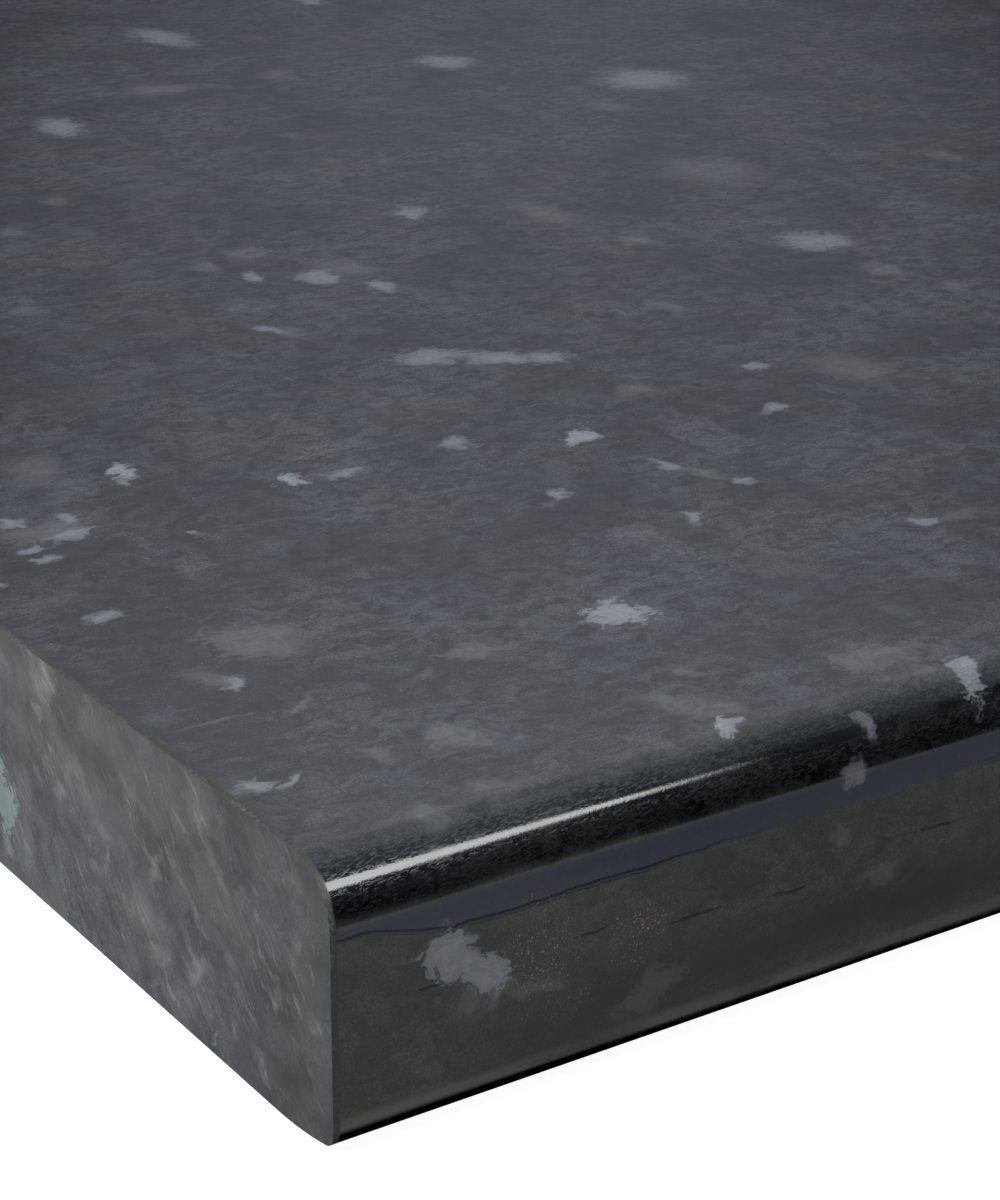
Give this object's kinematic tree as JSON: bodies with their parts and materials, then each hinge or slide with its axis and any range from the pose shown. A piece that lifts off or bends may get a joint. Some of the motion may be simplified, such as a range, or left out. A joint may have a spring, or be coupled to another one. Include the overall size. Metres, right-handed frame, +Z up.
{
  "type": "postformed laminate worktop",
  "caption": "Straight length of postformed worktop: chipboard core, granite-effect decor laminate rolled over the front edge, backing sheet and laminate end strips.",
  "frame": {"origin": "middle of the underside", "axes": "+X along the length towards the right-hand end as seen from the front, +Y from the rolled front nose towards the wall edge, +Z up out of the working face"},
  "size_m": [1.5, 0.6, 0.038],
  "materials": {
    "chipboard": "matte",
    "decor_laminate": "satin",
    "sheet_glue": "satin",
    "backing_paper": "matte",
    "sealing_bead": "satin",
    "edge_lacquer": "satin",
    "end_strip_laminate": "matte",
    "hot_melt": "satin"
  },
  "bodies": {
    "root": {"chipboard_core": "chipboard", "decor_laminate": "decor_laminate", "laminate_glue_film": "sheet_glue", "backing_sheet": "backing_paper", "backing_glue_film": "sheet_glue", "lip_seal_bead": "sealing_bead", "rear_edge_seal": "edge_lacquer", "left_end_strip": "end_strip_laminate", "left_end_hot_melt": "hot_melt", "right_end_strip": "end_strip_laminate", "right_end_hot_melt": "hot_melt"}
  },
  "joints": []
}
